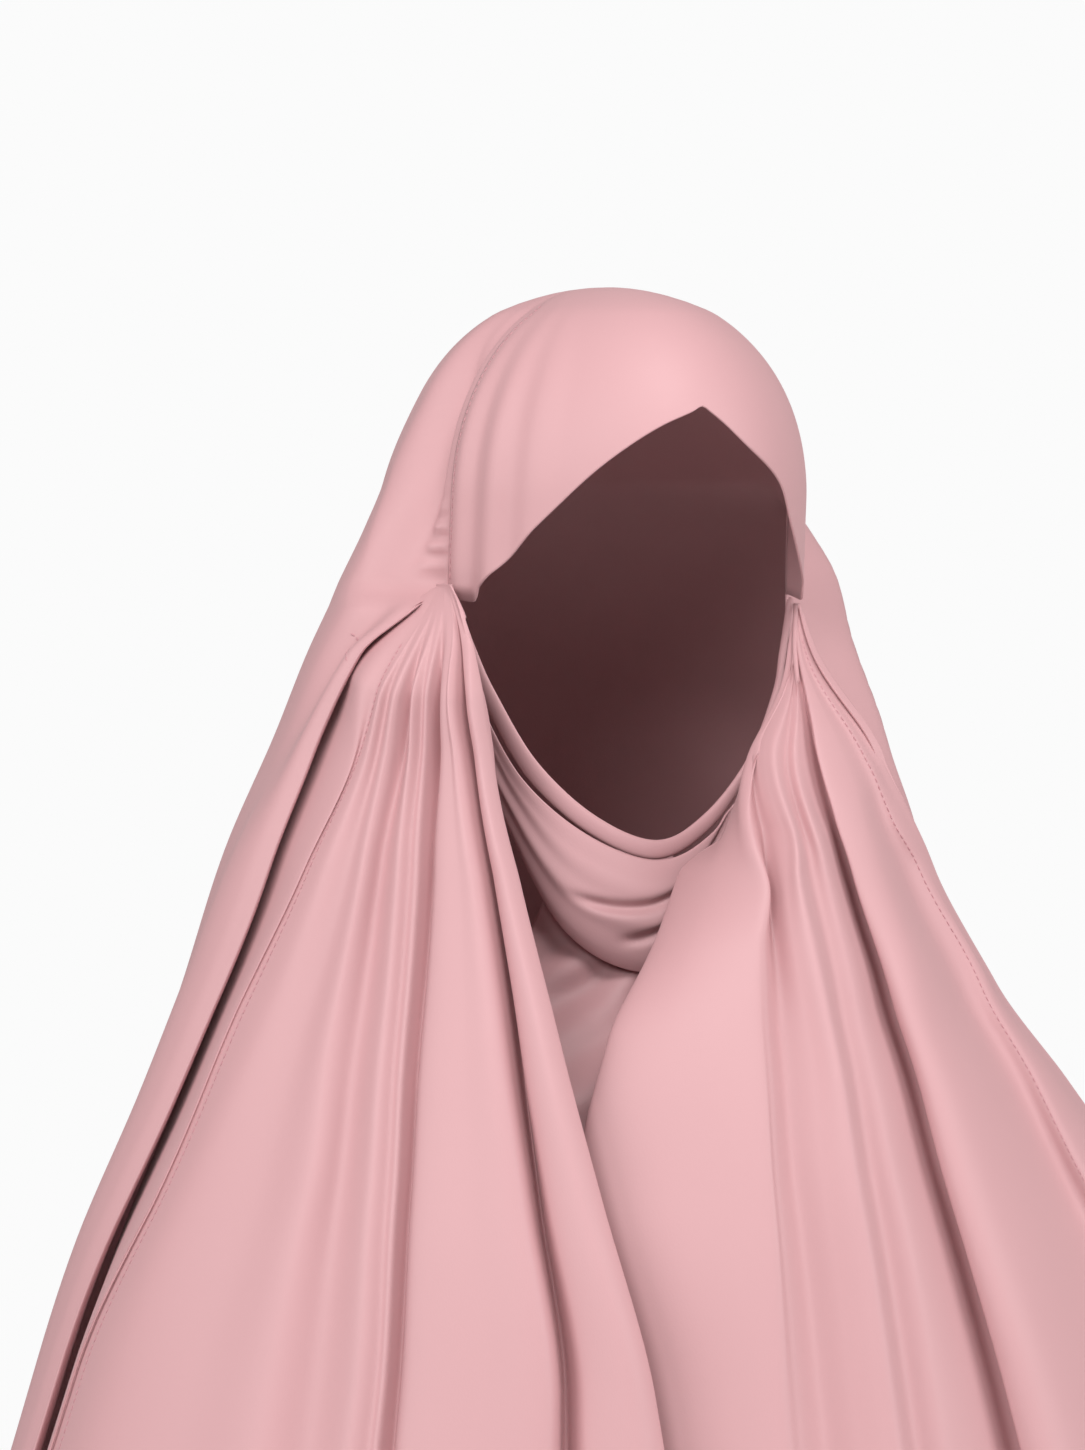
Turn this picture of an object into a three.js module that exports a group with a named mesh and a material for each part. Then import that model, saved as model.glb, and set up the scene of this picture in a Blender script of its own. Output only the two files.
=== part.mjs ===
// Khimar veil: a long overhead veil with a brow band, an open face and two crossed front drapes.
// Millimetres, +Z up. The origin is where the crown of the veil rests on a head. The face opening
// looks along -Y, and the wearer's right side is -X.
import * as THREE from "three";

// Sizes of the head part
const HEAD_DROP = 122; // crown to temple
const HEAD_HALF = 77; // half the width between the temple seams
const BROW_REACH = 82; // head axis to brow
const NAPE_REACH = 119; // head axis to the back of the head

// Sizes of the hanging part
const VEIL_DROP = 800; // crown to hem
const HEM_RIGHT = 325; // head axis to the hem on the wearer's right
const HEM_LEFT = 335;
const HEM_FRONT = 208;
const HEM_BACK = 258;

// Cloth
const WALL = 1.5; // cloth with its turned hems
const GAP = 0.4; // between two pieces that are sewn edge to edge
const TUCK = 10; // how far a hidden margin lies below the cloth on top of it
const HEM_WIDE = 8; // turned hem round the chin
const HEM_THICK = 3;

const DEG = Math.PI / 180;

// A table with named columns.
function table(names, rows) {
  const keys = names.split(" ");
  return Object.fromEntries(keys.map((key, i) => [key, rows.map((row) => row[i])]));
}

// Slope at one knot of a curve that never overshoots its knots.
function slopeAt(xs, ys, i) {
  if (i === 0 || i === xs.length - 1) {
    return 0;
  }
  const before = (ys[i] - ys[i - 1]) / (xs[i] - xs[i - 1]);
  const after = (ys[i + 1] - ys[i]) / (xs[i + 1] - xs[i]);
  return before * after <= 0 ? 0 : (2 * before * after) / (before + after);
}

// Smooth curve through the knots.
function curve(xs, ys, x) {
  if (x <= xs[0]) {
    return ys[0];
  }
  const last = xs.length - 1;
  if (x >= xs[last]) {
    return ys[last];
  }
  const i = xs.findIndex((knot) => knot > x) - 1;
  const h = xs[i + 1] - xs[i];
  const t = (x - xs[i]) / h;
  const rise = slopeAt(xs, ys, i) * h * t * (1 - t) * (1 - t);
  const fall = slopeAt(xs, ys, i + 1) * h * t * t * (1 - t);
  const ease = t * t * (3 - 2 * t);
  return ys[i] * (1 - ease) + ys[i + 1] * ease + rise - fall;
}

// Rounded curve across a list of values, one unit apart.
function across(values, u) {
  const last = values.length - 1;
  const i = Math.min(last - 1, Math.max(0, Math.floor(u)));
  const t = u - i;
  const b = values[i];
  const c = values[i + 1];
  const a = i > 0 ? values[i - 1] : 2 * b - c;
  const d = i + 2 <= last ? values[i + 2] : 2 * c - b;
  const cubic = (3 * (b - c) + d - a) * t * t * t;
  const square = (2 * a - 5 * b + 4 * c - d) * t * t;
  return b + 0.5 * ((c - a) * t + square + cubic);
}

function smooth(x) {
  const t = Math.min(1, Math.max(0, x));
  return t * t * (3 - 2 * t);
}

function mix(a, b, t) {
  return a + (b - a) * t;
}

// Levels count 0 at the crown, 1 at the temple and 2 at the hem.
function drop(level) {
  const below = Math.max(0, level - 1) * (VEIL_DROP - HEAD_DROP);
  return HEAD_DROP * Math.min(1, level) + below;
}

// Outline of the veil, a row per level. seat moves the middle of the section forward, the four
// sides are shares of the way from the head size to the hem size, turn swings the long axis.
const OUTLINE = table("level seat right left front back turn", [
  [0, -0.16, 0, 0, 0, 0, 0],
  [0.025, -0.12, 0.008, 0, 0, 0.01, 0],
  [0.1, 0.01, 0.036, 0, -0.03, 0.03, 0],
  [0.36, 0.05, 0.036, 0, -0.06, 0.01, 0],
  [0.64, 0.04, 0.062, 0, -0.05, 0, 0],
  [0.8, 0.02, 0.094, 0.092, -0.05, 0.03, -1],
  [1, 0, 0.142, 0.142, -0.063, 0.086, -2],
  [1.04, 0, 0.196, 0.172, -0.063, 0.14, -5],
  [1.09, 0, 0.252, 0.205, -0.063, 0.223, -8],
  [1.16, 0, 0.338, 0.215, 0.063, 0.33, -10],
  [1.24, 0, 0.412, 0.31, 0.25, 0.424, -12],
  [1.3, 0, 0.472, 0.43, 0.38, 0.496, -12],
  [1.39, 0, 0.57, 0.592, 0.52, 0.583, -12],
  [1.51, 0, 0.668, 0.745, 0.65, 0.705, -12],
  [1.73, 0, 0.84, 0.89, 0.85, 0.87, -12],
  [2, 0, 1, 1, 1, 1, -12],
]);
const DOME_DEEP = 0.72; // level where the crown has reached the full head size
const DOME_POWER = 2.1; // roundness of the crown

// A head is narrower from brow to temple than an even oval.
const EGG = 0.07;

// Curve read by height, so it runs past the temple without a kink.
function byHeight(levels, values, level) {
  return curve(levels.map(drop), values, drop(level));
}

function outline(name, level) {
  return byHeight(OUTLINE.level, OUTLINE[name], level);
}

// Share of the head size at a level of the crown.
function dome(level) {
  const rest = 1 - Math.min(1, Math.max(0, level) / DOME_DEEP);
  return Math.pow(1 - Math.pow(rest, DOME_POWER), 1 / DOME_POWER);
}

// Middle of the section at a level: the crown seam passes in front of the head axis.
function seat(level) {
  return -BROW_REACH * outline("seat", level);
}

// Distance from the head axis to one side of the outline.
function side(level, name, head, hem) {
  return Math.max(0.01, dome(level) * head + outline(name, level) * (hem - head));
}

// Distance from the middle of the section to the outline at a bearing from the front.
function reach(level, bearing) {
  const angle = (bearing - outline("turn", level)) * DEG;
  const s = Math.sin(angle);
  const c = Math.cos(angle);
  const wide = s < 0
    ? side(level, "right", HEAD_HALF, HEM_RIGHT)
    : side(level, "left", HEAD_HALF, HEM_LEFT);
  const deep = c > 0
    ? side(level, "front", BROW_REACH + seat(level), HEM_FRONT)
    : side(level, "back", NAPE_REACH - seat(level), HEM_BACK);
  return egg(bearing, level) / Math.hypot(s / wide, c / deep);
}

function egg(bearing, level) {
  const slant = Math.cos(bearing * DEG) > 0 ? Math.sin(2 * bearing * DEG) : 0;
  return 1 - EGG * (1 - smooth((level - 1) / 0.1)) * slant * slant;
}

// Point at a distance from the middle of the section.
function at(level, bearing, radius) {
  const x = radius * Math.sin(bearing * DEG);
  const y = seat(level) - radius * Math.cos(bearing * DEG);
  return new THREE.Vector3(x, y, WALL - drop(level));
}

// Front edges of the hood. near and far are bearings of its edge on the wearer's right and left,
// out_near and out_far say how far the edge has left the temple seam for the outline, cover is
// the part in degrees that stays close under the left drape. swell is the part in degrees over which
// the hood leaves its seam for the outline.
const HOOD_EDGE = table("level near far out_near out_far cover roll swell", [
  [0, -90, -270, 0, 0, 0, 0, 26],
  [0.5, -90, -270, 0, 0, 0, 0, 24],
  [0.8, -90, -270, 0, 0, 0, 0, 16],
  [1, -90, -270, 0, 0, 0, 0, 11],
  [1.012, -84, -270, 0.9, 0, 0, 0.5, 11],
  [1.04, -86.5, -273, 1, 0, 2, 1, 11],
  [1.1, -89.4, -284, 1, 0.3, 4, 1, 14],
  [1.17, -89.8, -300, 1, 1, 0, 1, 20],
  [1.25, -92.6, -303, 1, 1, 0, 1, 20],
  [1.35, -96, -302, 1, 1, 0, 1, 20],
  [1.46, -101, -298, 1, 1, 0, 1, 20],
  [2, -110, -294, 1, 1, 0, 1, 20],
]);

// Folds of the hood, a row per fold line from the wearer's right edge round the back to the left.
// share runs along the hood, the rest is how far the line stands out at each height.
const HOOD_FOLDS = table("share cap temple chest elbow hem", [
  [0, 0, 0, -1, -1, -1],
  [0.014, 0.6, 1, 3, 3, 4],
  [0.04, -18, -10, 4, 5, 6],
  [0.075, 0, 0, -1, -3, -5],
  [0.14, 1, 1, 1, 2, 4],
  [0.2, 0, 0, -5, -8, -12],
  [0.26, 1, 1, 3, 5, 9],
  [0.34, 0, 0, -4, -9, -13],
  [0.42, 0, 0, 3, 8, 12],
  [0.5, 0, 0, -3, -8, -12],
  [0.58, 0, 0, 3, 8, 12],
  [0.66, 0, 0, -4, -9, -12],
  [0.74, 0, 0, 3, 7, 11],
  [0.82, 0, 0, -2, -5, -8],
  [0.88, 0, 0, 0, 0, 2],
  [0.94, 0, 0, -7, -8, -9],
  [1, 0, 0, -TUCK, -TUCK, -TUCK],
]);
const HOOD_HEIGHTS = [0.5, 1, 1.2, 1.46, 2];

// How far a fold line of the hood stands out at a level.
function hoodOut(row, level) {
  const { cap, temple, chest, elbow, hem } = HOOD_FOLDS;
  return byHeight(HOOD_HEIGHTS, [cap[row], temple[row], chest[row], elbow[row], hem[row]], level);
}

// Values of the hood's edges at a level.
function hoodEdge(level) {
  const read = (name) => [name, byHeight(HOOD_EDGE.level, HOOD_EDGE[name], level)];
  return Object.fromEntries(Object.keys(HOOD_EDGE).map(read));
}

// Share of the way from the seam to the outline.
function hoodSwell(edge, bearing) {
  const fromNear = mix(edge.out_near, 1, smooth((edge.near - bearing) / edge.swell));
  const fromFar = mix(edge.out_far, 1, smooth((bearing - edge.far - edge.cover) / edge.swell));
  return Math.min(fromNear, fromFar);
}

// u counts fold lines, v runs from crown to hem. The part of u below 0 is the turned front edge.
function hood(u, level) {
  const edge = hoodEdge(level);
  const turned = Math.max(0, -u);
  const place = across(HOOD_FOLDS.share, Math.max(0, u));
  const allowance = 0.8 * (1 - edge.roll) * Math.max(0, 1 - Math.abs(u));
  const bearing = mix(edge.near, edge.far, place) - 2.5 * edge.roll * turned * turned - allowance;
  const outs = HOOD_FOLDS.share.map((_, row) => hoodOut(row, level));
  const out = across(outs, Math.max(0, u)) - 5 * edge.roll * turned;
  const seam = HEAD_HALF * dome(level);
  const dent = Math.min(1, seam / HEAD_HALF);
  const hung = reach(level, bearing) + out * dent;
  return at(level, bearing, mix(seam, hung, hoodSwell(edge, bearing)));
}

// Lower edge of the brow band: the level at each bearing, with its peak over the brow.
const BROW = table("bearing level", [
  [-90, 1.006],
  [-77.5, 1.009],
  [-67.6, 0.95],
  [-53, 0.8],
  [-32, 0.6],
  [-14, 0.475],
  [-3, 0.425],
  [0, 0.41],
  [3, 0.43],
  [16, 0.54],
  [35, 0.67],
  [45, 0.8],
  [60, 0.93],
  [77.5, 1.009],
  [90, 1.006],
]);

// Ridges that the pull of the temples draws beside the crown seam, a row per line.
const BAND_RIDGES = table("bearing out", [
  [-90, 0],
  [-84, 1.2],
  [-78, -0.8],
  [-70, 0.8],
  [-60, -0.3],
  [-45, 0],
  [60, 0],
  [78, 0.8],
  [90, 0],
]);

function band(bearing, share) {
  const level = share * curve(BROW.bearing, BROW.level, bearing);
  const seam = HEAD_HALF * dome(level);
  const front = dome(level) * (BROW_REACH + seat(level));
  const s = Math.sin(bearing * DEG) / Math.max(seam, 0.01);
  const c = Math.cos(bearing * DEG) / Math.max(front, 0.01);
  const ridge = curve(BAND_RIDGES.bearing, BAND_RIDGES.out, bearing);
  const radius = egg(bearing, level) / Math.hypot(s, c) + ridge * smooth(share * 2);
  return at(level, bearing, radius).add(new THREE.Vector3(0, -GAP, 0));
}

// Fold lines of the right front drape, a row per line from the margin under the hood to the front
// edge: bearings at the heights b1 to b7, then how far the line stands out when it has opened.
const RIGHT_FOLDS = table("b1 b2 b3 b4 b5 b6 b7 out", [
  [-97, -100, -102, -105, -108, -112, -120, -14],
  [-89, -91.9, -92.3, -95.1, -98.5, -103.5, -112.5, -9.5],
  [-83.3, -82.1, -84, -87.9, -90.2, -95.8, -102.5, -0.5],
  [-79.7, -81.2, -83.3, -87.1, -89.4, -95, -101, -1.6],
  [-77.9, -78.7, -79.5, -81.4, -84, -87.1, -92, 1.5],
  [-77.2, -77.9, -76.7, -76.3, -75.5, -77.2, -80, -1.5],
  [-75.3, -75.5, -73.5, -71.7, -68.8, -68.9, -70, 1.5],
  [-74.6, -74.8, -72.7, -69.5, -66, -64.6, -63, -4],
  [-72.5, -71.7, -68.2, -64.5, -60.8, -58.9, -59.5, 1.5],
  [-71.7, -71, -67.2, -63.2, -59.2, -57.1, -57, -2],
  [-70.4, -69.6, -65.5, -61.6, -57.7, -55.8, -55.6, -1],
  [-69.7, -68.9, -64.8, -60.9, -57, -55.1, -53.6, -7.5],
  [-67.4, -66, -61.7, -57.8, -54.3, -52.3, -52, 2],
  [-65.8, -63.5, -57.3, -51.8, -46.9, -43.4, -43, 5],
  [-64.9, -61.8, -54, -46.6, -39.8, -34.8, -34, 5],
  [-64.2, -61.1, -53.3, -45.9, -39.1, -33.8, -31, -14],
  [-63.5, -60.4, -52.2, -43.9, -36.4, -30.4, -28, 0],
  [-61.1, -57.8, -49, -39.8, -31.3, -24.1, -17, 6],
  [-60.4, -57.1, -47.5, -37.5, -28.3, -20.6, -7, -1],
  [-62.6, -59.3, -49.7, -39.7, -30.5, -22.8, -9.2, -6],
]);
const RIGHT_HEIGHTS = [1.04, 1.1, 1.17, 1.25, 1.35, 1.46, 2];

// Fold lines of the left front drape, from its front edge below the chin to its sewn margin.
const LEFT_FOLDS = table("b1 b2 b3 b4 b5 b6 b7 b8 b9", [
  [56, 54, 45, 8, -11, -24, -30, -23, -9],
  [55, 52, 42, 4, -16, -28, -33.5, -26.5, -12.5],
  [45, 33, 20, 5, -9, -17, -22, -16, -5],
  [35, 19, 12, 8.8, 2, -1.6, -4.3, -4.8, 2],
  [35.6, 19.6, 12.6, 9.4, 2.6, -1, -2.8, -2.6, 7],
  [36.2, 20.2, 19.8, 15.7, 11.2, 7.1, 4.1, 4, 13],
  [36.8, 20.8, 20.4, 16.3, 12.6, 10.6, 7.6, 7.5, 16],
  [37.4, 22.8, 21, 17, 15, 13.3, 11.3, 11.4, 19],
  [38, 29.8, 26.8, 24, 21.3, 18.6, 16, 15.7, 21.5],
  [38.6, 31, 27.7, 26.6, 24.6, 21.7, 19.2, 19.2, 26],
  [39.2, 35.4, 33.5, 32.8, 30.6, 27.6, 25.8, 26.5, 31],
  [42, 41.4, 39.8, 40.7, 38.6, 35, 31.5, 32.2, 35.5],
  [42.6, 43.7, 41.1, 41.3, 39.2, 35.6, 32.1, 32.8, 38],
  [41.5, 38.7, 35.6, 33.9, 32.2, 29.9, 27.7, 29, 36.5],
  [43.7, 45.3, 41.9, 39.8, 36.6, 32.8, 31.1, 32.5, 44],
  [47.4, 52.1, 52.5, 55, 55.2, 53.5, 50.8, 50.6, 55],
  [49.2, 54, 55.4, 59.9, 60.4, 56.7, 53, 55.9, 63],
  [53, 57, 60, 63, 63.5, 63.5, 65.5, 69, 73],
  [56, 60, 63, 66, 67, 66.5, 68, 71.5, 75.5],
  [54, 58.5, 61.5, 64.5, 65, 64.5, 66, 69.5, 73.5],
]);
const LEFT_OUTS = table("b1 b2 b3 b4 b5 b6 b7 b8 b9", [
  [-20, -34, -52, -48, -34, -24, -25, -25, -25],
  [-20, -32, -50, -45, -28, -16, -19, -20, -20],
  [-16, -25, -30, -24, -11, -5, -9, -9, -9],
  [-10, -12, -10, -6, 0, 3, 5, 6, 6],
  [-6, -5, -2, 0, 1, 2, 3, 3, 3],
  [-6, -8, -10, -9, -7, -5, -4, -4, -4],
  [-6, -2, 0, 1, 2, 1, 1, 1, 1],
  [-3, 2, 5, 7, 8, 8, 8, 8, 9],
  [-5, -3, -2, -1, 0, 0, 0, 0, 0],
  [-2, 0, 2, 2, 2, 2, 3, 3, 3],
  [-4, -3, -4, -4, -4, -4, -5, -5, -5],
  [-6, -8, -10, -12, -13, -13, -13, -14, -16],
  [-6, -9, -9, -8, -8, -8, -8, -8, -9],
  [-3, -2, -1, 1, 1, 1, 1, 1, 1],
  [-3, -2, 1, 4, 7, 8, 8, 9, 10],
  [-6, -6, -6, -6, -6.5, -7, -7.5, -9, -10],
  [-6, -6, -4, -2, 0, 1, 2, 3, 4],
  [-8, -8, -4, -1, 0, 0, 0, 0, 0],
  [-8, -8, -4, -1, 0, 0, 0, 0, 0],
  [-10, -10, -8, -5.3, -5.3, -5.3, -5.3, -5.3, -5.3],
]);
const LEFT_HEIGHTS = [1.04, 1.1, 1.14, 1.17, 1.21, 1.26, 1.35, 1.46, 2];

// Values of one fold line at a level.
function lineAt(folds, heights, row, level) {
  return curve(heights, heights.map((_, i) => folds[`b${i + 1}`][row]), level);
}

// A drape hangs from where it is gathered and opens on to the outline. opens and margin are the
// heights it takes at its front edge and at its sewn margin, even is where the front height begins.
function drape(gather, bearing, out, place, level) {
  const opens = mix(gather.margin, gather.opens, Math.min(1, place / gather.even));
  const below = Math.min(1, Math.max(0, (level - 1) / opens));
  const open = 1 - Math.pow(1 - below, 1.6);
  const hung = at(level, bearing, reach(level, bearing) + out);
  const x = gather.x;
  const y = mix(gather.back, gather.front, place);
  return new THREE.Vector3(mix(x, hung.x, open), mix(y, hung.y, open), hung.z);
}

const RIGHT_GATHER = { x: -(HEAD_HALF + 7), back: -3.8, front: -18, opens: 0.064, margin: 0.05, even: 0.2 };

// The left drape is sewn along the face opening: shares of the half head width and the brow reach.
const LEFT_SEAM = table("level x y", [
  [1, 1.035, -0.06],
  [1.0134, 1.028, -0.08],
  [1.042, 0.965, -0.12],
  [1.067, 0.888, -0.185],
  [1.109, 0.69, -0.27],
  [1.142, 0.39, -0.38],
  [1.16, 0.1, -0.44],
]);

function leftGather(level) {
  const x = HEAD_HALF * curve(LEFT_SEAM.level, LEFT_SEAM.x, level);
  const y = BROW_REACH * curve(LEFT_SEAM.level, LEFT_SEAM.y, level);
  return { x, back: y + 6, front: y, opens: 0.2, margin: 0.1, even: 1 };
}

function rightDrape(u, level) {
  const rows = RIGHT_FOLDS.out.map((_, row) => row);
  const bearings = rows.map((row) => lineAt(RIGHT_FOLDS, RIGHT_HEIGHTS, row, level));
  const opened = smooth((level - 1) / 0.04);
  const out = across(RIGHT_FOLDS.out, u) * opened;
  return drape(RIGHT_GATHER, across(bearings, u), out, u / (rows.length - 1), level);
}

function leftDrape(u, level) {
  const rows = LEFT_FOLDS.b1.map((_, row) => row);
  const bearings = rows.map((row) => lineAt(LEFT_FOLDS, LEFT_HEIGHTS, row, level));
  const outs = rows.map((row) => lineAt(LEFT_OUTS, LEFT_HEIGHTS, row, level));
  return drape(leftGather(level), across(bearings, u), across(outs, u), 1 - u / (rows.length - 1), level);
}

// Chin line from the right temple to the left one: the hem of the face opening and the lip of the
// cowl below it. x is a share of the half head width, y of the brow reach, level as above.
const CHIN = table("x y level lip_x lip_y lip_level bulge", [
  [-0.975, -0.07, 1.0134, -0.97, -0.05, 1.04, 0],
  [-0.91, -0.11, 1.042, -0.94, -0.06, 1.062, 1],
  [-0.835, -0.17, 1.067, -0.885, -0.07, 1.09, 2],
  [-0.633, -0.245, 1.109, -0.735, -0.11, 1.136, 4],
  [-0.33, -0.34, 1.142, -0.48, -0.34, 1.205, 8],
  [0, -0.415, 1.157, -0.1, -0.5, 1.229, 9],
  [0.33, -0.34, 1.142, 0.3, -0.44, 1.207, 6],
  [0.633, -0.245, 1.109, 0.6, -0.25, 1.157, 3],
  [0.835, -0.17, 1.067, 0.82, -0.15, 1.1, 1],
  [0.91, -0.11, 1.042, 0.91, -0.1, 1.062, 0],
  [0.975, -0.07, 1.0134, 0.96, -0.05, 1.04, 0],
]);

function chinPoint(a) {
  const level = across(CHIN.level, a);
  const y = BROW_REACH * across(CHIN.y, a);
  return new THREE.Vector3(HEAD_HALF * across(CHIN.x, a), y, WALL - drop(level));
}

function lipPoint(a) {
  const level = across(CHIN.lip_level, a);
  const y = BROW_REACH * across(CHIN.lip_y, a);
  return new THREE.Vector3(HEAD_HALF * across(CHIN.lip_x, a), y, WALL - drop(level));
}

// Folds across the cowl from hem to lip, and the lip turned back behind it.
const COWL_FOLDS = table("down out", [
  [0, 0],
  [0.25, 1],
  [0.42, -1.2],
  [0.58, 1.2],
  [0.72, -1],
  [0.9, 0.6],
  [1, -1.5],
  [0.97, -5],
]);

function cowl(a, row) {
  const top = chinPoint(a);
  const lip = lipPoint(a);
  const fall = lip.clone().sub(top);
  const clear = (HEM_WIDE / 2 + 3 * GAP) / fall.length();
  const down = mix(clear, 1, across(COWL_FOLDS.down, row));
  const bulge = across(CHIN.bulge, a) * Math.sin(Math.PI * Math.min(1, down) * 0.9);
  const out = bulge + across(COWL_FOLDS.out, row) * smooth(a / 3) * smooth((10 - a) / 2);
  const away = new THREE.Vector3(top.x, top.y, 0).normalize();
  return top.addScaledVector(fall, down).addScaledVector(away, out);
}

// Turned hem round the chin: a flat rounded strip along the face opening.
function chinHem(a, turn) {
  const centre = chinPoint(a);
  const down = lipPoint(a).sub(centre).normalize();
  const along = chinPoint(a + 0.01).sub(chinPoint(a - 0.01)).normalize();
  const away = down.clone().cross(along).normalize();
  const wide = (HEM_WIDE / 2) * Math.cos(turn);
  const thick = (HEM_THICK / 2) * Math.sin(turn);
  return centre.addScaledVector(down, wide).addScaledVector(away, thick);
}

// Throat panel behind the cowl, as a share of the outline at each level.
const THROAT = table("level share", [
  [1.15, 0.2],
  [1.19, 0.27],
  [1.225, 0.347],
  [1.24, 0.37],
  [1.262, 0.47],
  [1.285, 0.58],
  [1.31, 0.66],
  [1.38, 0.74],
  [1.47, 0.77],
]);
const THROAT_NEAR = -78;
const THROAT_FAR = 42;

function throat(bearing, level) {
  const share = curve(THROAT.level, THROAT.share, level);
  return at(level, bearing, reach(level, bearing) * share);
}

// Outward direction of a surface at one place.
function facing(surface, u, v, hint) {
  const e = 0.01;
  const du = surface(u + e, v).sub(surface(u - e, v));
  const dv = surface(u, v + e).sub(surface(u, v - e));
  const n = du.cross(dv);
  return n.lengthSq() < 1e-12 ? hint.clone() : n.normalize();
}

// Closed cloth: an outer and an inner skin and the edge between them.
function cloth(surface, us, vs, options) {
  const { flip = 1, pole = false, onSeam = () => false } = options ?? {};
  const spots = [];
  const id = new Map();
  const spot = (key, point) => {
    if (!id.has(key)) {
      id.set(key, spots.length / 3);
      spots.push(point.x, point.y, point.z);
    }
    return id.get(key);
  };
  const up = new THREE.Vector3(0, 0, 1);
  const skin = (i, j, inner) => {
    const key = pole && j === 0 ? `${inner}` : `${inner} ${i} ${j}`;
    const point = surface(us[i], vs[j]);
    if (inner) {
      const n = pole && j === 0 ? up.clone() : facing(surface, us[i], vs[j], up).multiplyScalar(flip);
      if (onSeam(i, j)) {
        n.setY(0).normalize(); // the cut edge stands square to the crown seam
      }
      point.addScaledVector(n, -WALL);
    }
    return spot(key, point);
  };
  const faces = [];
  const quad = (a, b, c, d) => {
    [[a, b, c], [a, c, d]].forEach((f) => {
      if (new Set(f).size === 3) {
        faces.push(...(flip > 0 ? f : [f[0], f[2], f[1]]));
      }
    });
  };
  const m = us.length - 1;
  const n = vs.length - 1;
  for (let i = 0; i < m; i++) {
    for (let j = 0; j < n; j++) {
      quad(skin(i, j, 0), skin(i + 1, j, 0), skin(i + 1, j + 1, 0), skin(i, j + 1, 0));
      quad(skin(i, j, 1), skin(i, j + 1, 1), skin(i + 1, j + 1, 1), skin(i + 1, j, 1));
    }
    quad(skin(i, 0, 0), skin(i, 0, 1), skin(i + 1, 0, 1), skin(i + 1, 0, 0));
    quad(skin(i, n, 0), skin(i + 1, n, 0), skin(i + 1, n, 1), skin(i, n, 1));
  }
  for (let j = 0; j < n; j++) {
    quad(skin(0, j, 0), skin(0, j + 1, 0), skin(0, j + 1, 1), skin(0, j, 1));
    quad(skin(m, j, 0), skin(m, j, 1), skin(m, j + 1, 1), skin(m, j + 1, 0));
  }
  return solid(spots, faces);
}

// Closed strip with a round section, capped at both ends.
function strip(section, stations, turns) {
  const spots = [];
  stations.forEach((a) => {
    for (let k = 0; k < turns; k++) {
      const p = section(a, (2 * Math.PI * k) / turns);
      spots.push(p.x, p.y, p.z);
    }
  });
  const faces = [];
  const last = stations.length - 1;
  for (let s = 0; s < last; s++) {
    for (let k = 0; k < turns; k++) {
      const a = s * turns + k;
      const b = s * turns + ((k + 1) % turns);
      faces.push(a, b + turns, b, a, a + turns, b + turns);
    }
  }
  for (let k = 1; k < turns - 1; k++) {
    faces.push(0, k, k + 1);
    faces.push(last * turns, last * turns + k + 1, last * turns + k);
  }
  return solid(spots, faces);
}

function solid(spots, faces) {
  const geometry = new THREE.BufferGeometry();
  geometry.setAttribute("position", new THREE.Float32BufferAttribute(spots, 3));
  geometry.setIndex(faces);
  geometry.computeVertexNormals();
  return geometry;
}

// Evenly spaced values.
function steps(from, to, count) {
  return Array.from({ length: count + 1 }, (_, i) => mix(from, to, i / count));
}

// Steps between the knots of a list.
function between(knots, count) {
  const parts = knots.slice(0, -1).map((knot, i) => steps(knot, knots[i + 1], count).slice(0, -1));
  return [...parts.flat(), knots[knots.length - 1]];
}

// One line per fold, and one more halfway after each row that is named.
function foldLines(rows, halved) {
  return steps(0, rows - 1, rows - 1).flatMap((row) => (halved.includes(row) ? [row, row + 0.5] : [row]));
}

const object = new THREE.Group();
object.name = "khimar_veil";

function add(name, geometry, colour) {
  const material = new THREE.MeshStandardMaterial({ color: colour, roughness: 0.85, metalness: 0 });
  material.name = name;
  const mesh = new THREE.Mesh(geometry, material);
  mesh.name = name;
  object.add(mesh);
}

const ROSE = 0xdcaab0;
const ROSE_SHADE = 0xd2a0a6;

// The hood and the band share their corners along the crown seam.
const capShares = [0, 0.01, 0.035, 0.08, 0.16, 0.28, 0.42, 0.57, 0.72, 0.86, 0.98, 1];
const capLevels = capShares.map((share) => share * BROW.level[0]);
const hoodLevels = [...capLevels, 1.02, 1.045, 1.08, 1.12, 1.165, 1.215, 1.27, 1.33, 1.4, 1.48, 1.58, 1.7,
  1.85, 2];
const hoodLines = [-1, -0.5, ...between([0, 1, 2, 3, 4, 5, 6, 7, 8, 9, 10, 11, 12, 13, 14, 15, 16], 2)];
const hoodSeam = (i, j) => (i === 0 || i === hoodLines.length - 1) && j < capLevels.length;
add("hood_veil", cloth(hood, hoodLines, hoodLevels, { pole: true, flip: -1, onSeam: hoodSeam }), ROSE);

const bandLines = [-90, -84, -78, -70, -61, -53, -43, -32, -22, -12, -4, 0, 4, 14, 25, 35, 45, 55, 68, 79, 90];
const bandSeam = (i) => i === 0 || i === bandLines.length - 1;
const bandCloth = cloth(band, bandLines, capShares, { pole: true, flip: -1, onSeam: bandSeam });
add("forehead_band", bandCloth, ROSE_SHADE);

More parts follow.
